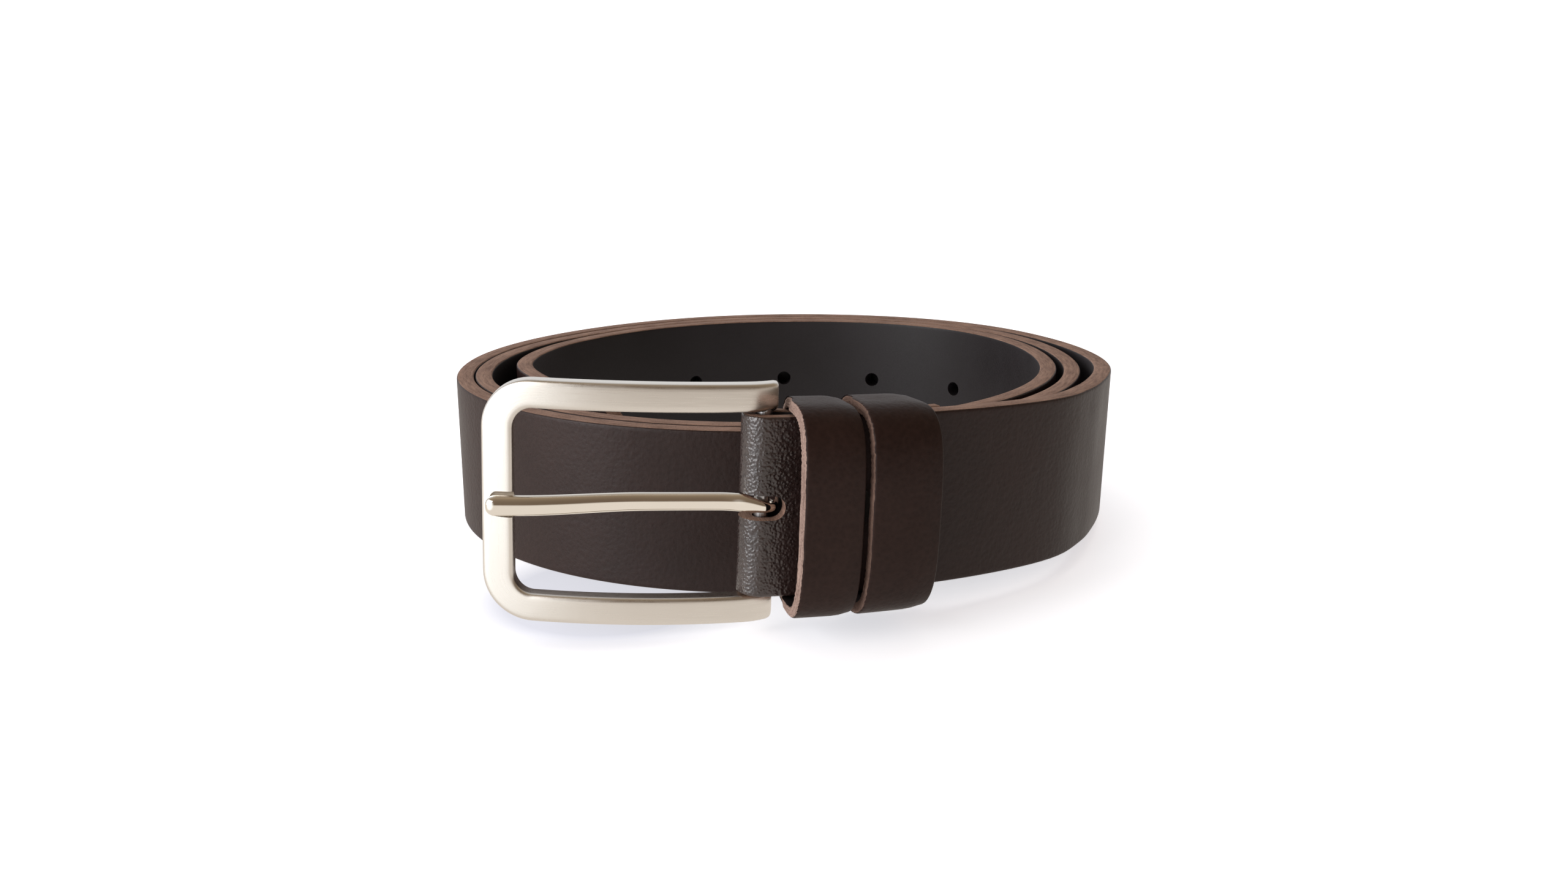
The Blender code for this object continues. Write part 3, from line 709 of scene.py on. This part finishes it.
def keeper_profile():
    """The middle of the keeper's leather round the strap: (outward from the grain face, height)."""
    profile = []
    gap_angle = BUTT_GAP / 2 / KEEPER_HALF_HEIGHT
    for angle in spread(-math.pi + gap_angle, math.pi - gap_angle, 361):
        cosine, sine = math.cos(angle), math.sin(angle)
        power = KEEPER_FRONT_POWER if cosine > 0 else KEEPER_BACK_POWER
        reach = KEEPER_FRONT if cosine > 0 else KEEPER_BACK
        profile.append((reach * rounded(cosine, power), KEEPER_HALF_HEIGHT * rounded(sine, power)))
    profile[0] = (profile[0][0], -BUTT_GAP / 2)
    profile[-1] = (profile[-1][0], BUTT_GAP / 2)
    return profile


def build_keeper(node, body, materials):
    """A leather loop, its two ends butted together behind the strap, with a ragged left edge."""
    start, width = KEEPER_STARTS[node], KEEPER_WIDTHS[node]
    section, sides = leather_section(
        start, start + width, KEEPER_THICKNESS, KEEPER_EDGE_ROUND, 8
    )
    profile = keeper_profile()
    rings = []
    for i, (outward, height) in enumerate(profile):
        before, after = profile[max(i - 1, 0)], profile[min(i + 1, len(profile) - 1)]
        heading = Vector((after[0] - before[0], after[1] - before[1])).normalized()
        normal = Vector((heading.y, -heading.x))
        ring = []
        for along, depth in section:
            offset = depth + KEEPER_THICKNESS / 2
            offset -= KEEPER_DIP * smooth_step(along - start, 0.72 * width, width)
            if along < start + 0.5 * MM:
                along += KEEPER_BEVELS[node] * (0.3 + depth / KEEPER_THICKNESS)
                along += KEEPER_BACK_TRIM * smooth_step(-outward, 1 * MM, 4 * MM)
                spot = Vector((0.45 * i, 1.6 * depth / MM, width / MM))
                along += KEEPER_RAGGED * noise.noise(spot)
            ring.append(arc_point(along, outward + offset * normal.x, height + offset * normal.y))
        rings.append(ring)
    keeper = loft(f"{node}_leather", rings, sides)
    return place(keeper, body, node, "keeper_leather", materials)


# ---------------------------------------------------------------- buckle

def buckle_matrix():
    """The buckle's own frame on the heel bar: +X out to the end bar, +Y to the back, +Z up."""
    turn = Matrix.Rotation(math.pi + FRAME_YAW, 4, "Z")
    return END @ turn @ Matrix.Scale(-1.0, 4, Vector((0.0, 1.0, 0.0)))


def set_in_buckle(obj):
    """Moves a mesh made in the buckle's own frame to its place; the frame is mirrored."""
    obj.data.transform(buckle_matrix())
    obj.data.flip_normals()
    return obj


def bow(x):
    """How far forward the frame is there: a shallow arch, with the arms' ends rolled back."""
    middle = (FRAME_REACH - END_BAR_WIDTH / 2) / 2
    rolled = max(0.0, ARM_END_ROLL_START - x) / (ARM_END_ROLL_START + KNUCKLE_REACH)
    return FRAME_BOW * (1.0 - ((x - middle) / middle) ** 2) - ARM_END_ROLL * rolled**2


def frame_path():
    """The frame's centre line from the lower arm's end round the end bar: (x, z, heading, size)."""
    height = (FRAME_OPENING + ARM_HEIGHT) / 2
    far = FRAME_REACH - END_BAR_WIDTH / 2
    ease = ((0.02, 0.55), (0.12, 0.80), (0.45, 0.94))
    path = [(-KNUCKLE_REACH + reach * MM, -height, 0.0, size) for reach, size in ease]
    for x in spread(-KNUCKLE_REACH + 1.1 * MM, far - CORNER_RADIUS, 40):
        path.append((x, -height, 0.0, 1.0))
    for degrees in range(6, 90, 6):
        angle = math.radians(degrees)
        x = far - CORNER_RADIUS + CORNER_RADIUS * math.sin(angle)
        path.append((x, -height + CORNER_RADIUS * (1 - math.cos(angle)), angle, 1.0))
    for z in spread(-height + CORNER_RADIUS, 0.0, 12):
        path.append((far, z, math.pi / 2, 1.0))
    mirrored = [(x, -z, math.pi - heading, size) for x, z, heading, size in reversed(path[:-1])]
    return path + mirrored


def frame_section(x, z, heading, size):
    """A rounded section, squarer in front than behind, across the frame's centre line."""
    share = math.sin(heading) ** 2
    half_width = (ARM_HEIGHT + share * (END_BAR_WIDTH - ARM_HEIGHT)) / 2 * size
    half_depth = FRAME_DEPTH / 2 * size
    inner = Vector((-math.sin(heading), 0.0, math.cos(heading)))
    ring = []
    for i in range(48):
        angle = 2 * math.pi * (i + 0.5) / 48
        power = FRAME_FRONT_POWER if math.sin(angle) < 0 else FRAME_BACK_POWER
        u, v = rounded(math.cos(angle), power), rounded(math.sin(angle), power)
        point = Vector((x, v * half_depth, z)) + u * half_width * inner
        point.y -= bow(point.x)
        ring.append(point)
    return ring


def build_frame(mat):
    frame = loft("buckle_casting", [frame_section(*station) for station in frame_path()])
    line, height = prong_line(PRONG_TIP) + 2 * GAP, prong_height(PRONG_TIP)
    inset = NOTCH_INSET + NOTCH_ROUND
    ends = [Vector((FRAME_REACH - inward, line, height)) for inward in (END_BAR_WIDTH + 4 * MM, inset)]
    radius = PRONG_HEIGHT / 2 + 2 * GAP
    cut(frame, [capsule("notch", radius, *ends)])
    set_in_buckle(frame)
    return place(frame, "buckle", "buckle_frame", "satin_nickel", [mat], 50.0)


def prong_line(x):
    """The prong's centre line: level with the bar, then forward over the end bar (front is -Y)."""
    return -PRONG_RISE * smooth_step(x, PRONG_RISE_START, PRONG_RISE_END) - PRONG_SET


def prong_height(x):
    return PRONG_DROP * (0.42 - smooth_step(x, -10.0 * MM, 62.0 * MM))


def prong_nose(x):
    """The prong's height and half its size there: its top slopes down to the curl, its foot is level."""
    full = PRONG_HEIGHT / 2 * (0.93 + 0.09 * smooth_step(x, 15 * MM, 46 * MM))
    tall = full * (1.0 - NOSE_TAPER * (1.0 - smooth_step(x, -3.4 * MM, 4.4 * MM)))
    return Vector((0.0, 0.0, prong_height(max(x, 0.0)) - full + tall)), tall


def prong_ring(centre, thick, tall, outward):
    """A ring of points round the prong: outward is the direction its thickness is measured in."""
    ring = []
    for i in range(32):
        angle = 2 * math.pi * (i + 0.5) / 32
        u = math.copysign(abs(math.cos(angle)) ** PRONG_SQUARENESS, math.cos(angle))
        v = math.copysign(abs(math.sin(angle)) ** PRONG_SQUARENESS, math.sin(angle))
        ring.append(centre + u * thick * outward + Vector((0.0, 0.0, v * tall)))
    return ring


def build_prong(mat):
    """A tapered end curled round the heel bar, and a polished shaft with a rounded tip."""
    inner = BAR_RADIUS + GAP
    curl = (PRONG_RING_RADIUS + inner) / 2
    thin = (PRONG_RING_RADIUS - inner) / 2
    rings = []
    for degrees in range(230, 0, -10):
        angle = math.radians(degrees)
        outward = Vector((-math.sin(angle), -math.cos(angle), 0.0))
        reach = -curl if degrees > 90 else -curl * math.sin(angle)
        height, tall = prong_nose(reach)
        rings.append(prong_ring(curl * outward + height, thin, tall, outward))
    front = Vector((0.0, -1.0, 0.0))
    for x in spread(0.0, PRONG_TIP - PRONG_TIP_ROUND, 90):
        share = smooth_step(x, 0.0, 8.0 * MM)
        depth = -curl + share * (prong_line(x) + curl)
        thick = thin + share * (PRONG_DEPTH / 2 - thin)
        height, tall = prong_nose(x)
        rings.append(prong_ring(Vector((x, depth, 0.0)) + height, thick, tall, front))
    for degrees in range(10, 90, 10):
        angle = math.radians(degrees)
        x = PRONG_TIP - PRONG_TIP_ROUND * (1 - math.sin(angle))
        size = math.cos(angle) ** 0.7
        centre = Vector((x, prong_line(x), prong_height(x)))
        rings.append(prong_ring(centre, PRONG_DEPTH / 2 * size, PRONG_HEIGHT / 2 * 1.02 * size, front))
    prong = set_in_buckle(loft("prong_tongue", rings))
    return place(prong, "tongue", "prong", "polished_nickel", [mat], 50.0)


def carry_over(node, mat):
    """A small CAD piece is kept, with its sharp edges eased and its own finish."""
    obj = frame["nodes"][node]
    ease = obj.modifiers.new("eased edges", "BEVEL")
    ease.width, ease.segments, ease.limit_method = 0.12 * MM, 2, "ANGLE"
    ease.angle_limit = math.radians(40)
    obj.data.materials.clear()
    obj.data.materials.append(mat)


# ---------------------------------------------------------------- stage

def add_camera():
    camera = bpy.data.cameras.new("camera")
    camera.lens = CAMERA_LENS
    camera.sensor_width = 36.0
    camera.clip_start = 0.01
    obj = bpy.data.objects.new("camera", camera)
    bpy.context.scene.collection.objects.link(obj)
    obj.location = CAMERA_PLACE - BELT_MIDDLE
    obj.rotation_euler = (math.pi / 2 - CAMERA_DOWN, 0.0, 0.0)
    bpy.context.scene.camera = obj


def add_floor():
    bm = bmesh.new()
    bmesh.ops.create_grid(bm, x_segments=2, y_segments=2, size=FLOOR_HALF_SIZE)
    floor = mesh_object("floor", bm)
    floor.location.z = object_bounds()[0][2]
    floor.data.materials.append(floor_material())
    floor.visible_glossy = False


def add_light(name, place_at, size, power, colour):
    """A rectangular lamp that faces the belt."""
    light = bpy.data.lights.new(name, "AREA")
    light.shape = "RECTANGLE"
    light.size, light.size_y = size
    light.energy = power
    light.color = colour
    obj = bpy.data.objects.new(name, light)
    bpy.context.scene.collection.objects.link(obj)
    obj.location = place_at
    obj.rotation_euler = (LAMP_AIM - Vector(place_at)).to_track_quat("-Z", "Y").to_euler()


def add_room():
    """A room that is bright at the back left and the front left, and dim and warm elsewhere.

    Reflections see a cream table below, and not the white floor.
    """
    world = bpy.data.worlds.new("studio")
    bpy.context.scene.world = world
    world.use_nodes = True
    n = Nodes(world.node_tree)
    where = n.add("ShaderNodeTexCoord").outputs["Generated"]
    room = n.ramp(n.remap(n.vector("DOT_PRODUCT", where, ROOM_BACK), 0.0, 1.0, -1.0, 1.0), ROOM_TONES)
    split = n.add("ShaderNodeSeparateXYZ")
    n.link(where, split.inputs["Vector"])
    below = n.remap(split.outputs["Z"], 0.0, 1.0, 0.0, -HORIZON_DROP)
    beside = n.vector("DOT_PRODUCT", where, GLOW_HEADING)
    glow = n.remap(beside, 0.0, 1.0, GLOW_START, GLOW_FULL, "SMOOTHSTEP")
    colour = n.mix(glow, n.mix(below, room, TABLE_TONE), GLOW_TONE)
    n.link(colour, n.tree.nodes["Background"].inputs["Color"])


def add_lamps():
    sun = bpy.data.lights.new("skylight", "SUN")
    sun.energy, sun.angle, sun.color = 1.3, math.radians(70.0), (1.0, 0.99, 0.97)
    sky = bpy.data.objects.new("skylight", sun)
    bpy.context.scene.collection.objects.link(sky)
    sky.rotation_euler = (math.radians(-38.0), math.radians(-12.0), 0.0)
    sky.visible_glossy = False
    add_light("left_panel", (-0.80, -0.75, 0.35), (0.8, 0.8), 5.6, (1.0, 0.99, 1.0))
    add_light("window", (-0.92, -0.40, 0.35), (0.8, 0.8), 6.0, (0.97, 0.98, 1.0))


def add_backdrop():
    """A white wall all round, which lights nothing: only the camera sees it."""
    bm = bmesh.new()
    bmesh.ops.create_cone(
        bm, segments=64, radius1=WALL_RADIUS, radius2=WALL_RADIUS, depth=WALL_HEIGHT
    )
    wall = mesh_object("backdrop", bm)
    n = Surface("backdrop")
    white = (1.0, 1.0, 1.0, 1.0)
    wall.data.materials.append(n.done(white, 1.0, Emission_Color=white, Emission_Strength=1.1))
    wall.visible_diffuse = False
    wall.visible_glossy = False
    wall.visible_shadow = False


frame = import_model()
add_camera()

flesh = flesh_leather()
cut_edge = raw_edge("strap_cut_edge", (0.070, 0.034, 0.024), (0.34, 0.215, 0.160))
keeper_edge = raw_edge("keeper_cut_edge", (0.075, 0.038, 0.028), (0.42, 0.30, 0.25), 1.4)
# the free keeper's cut edge: the keeper edge made darker, as painted shade where it sits in the gap by
# the fixed keeper
keeper_edge_painted_shade = raw_edge("keeper_edge_painted_shade", (0.040, 0.020, 0.015), (0.20, 0.125, 0.095), 1.2)
strap_grain = grain_leather(
    "strap_grain", (0.0155, 0.0070, 0.0058), (0.0235, 0.0110, 0.0092), 0.44, 0.45, 0.24
)
fold_grain = grain_leather(
    "fold_grain", (0.0120, 0.0062, 0.0055), (0.0260, 0.0130, 0.0110), 0.27, 0.45, 0.85, True
)
keeper_grain = grain_leather(
    "keeper_grain", (0.0140, 0.0064, 0.0050), (0.0245, 0.0120, 0.0092), 0.47, 0.35, 0.14
)
satin = nickel("satin_nickel", (0.76, 0.72, 0.665), 0.29, 0.35)
polished = nickel("polished_nickel", (0.88, 0.83, 0.75), 0.07, 0.08)
steel = nickel("steel_wire_and_screws", (0.56, 0.56, 0.57), 0.28, 0.20)

build_strap([strap_grain, flesh, cut_edge, fold_grain])
build_keeper("keeper_fixed", "belt", [keeper_grain, flesh, keeper_edge])
build_keeper("keeper_free", "sliding_keeper", [keeper_grain, flesh, keeper_edge_painted_shade])
build_frame(satin)
build_prong(polished)
for number in (1, 2):
    carry_over(f"screw_post_{number}", polished)
    carry_over(f"screw_{number}", steel)
    for keeper in KEEPER_STARTS:
        carry_over(f"{keeper}_staple_{number}", steel)
carry_over("heel_bar", steel)

add_floor()
add_backdrop()
add_room()
add_lamps()
bpy.context.scene.view_settings.view_transform = "Standard"
bpy.context.scene.view_settings.look = "None"
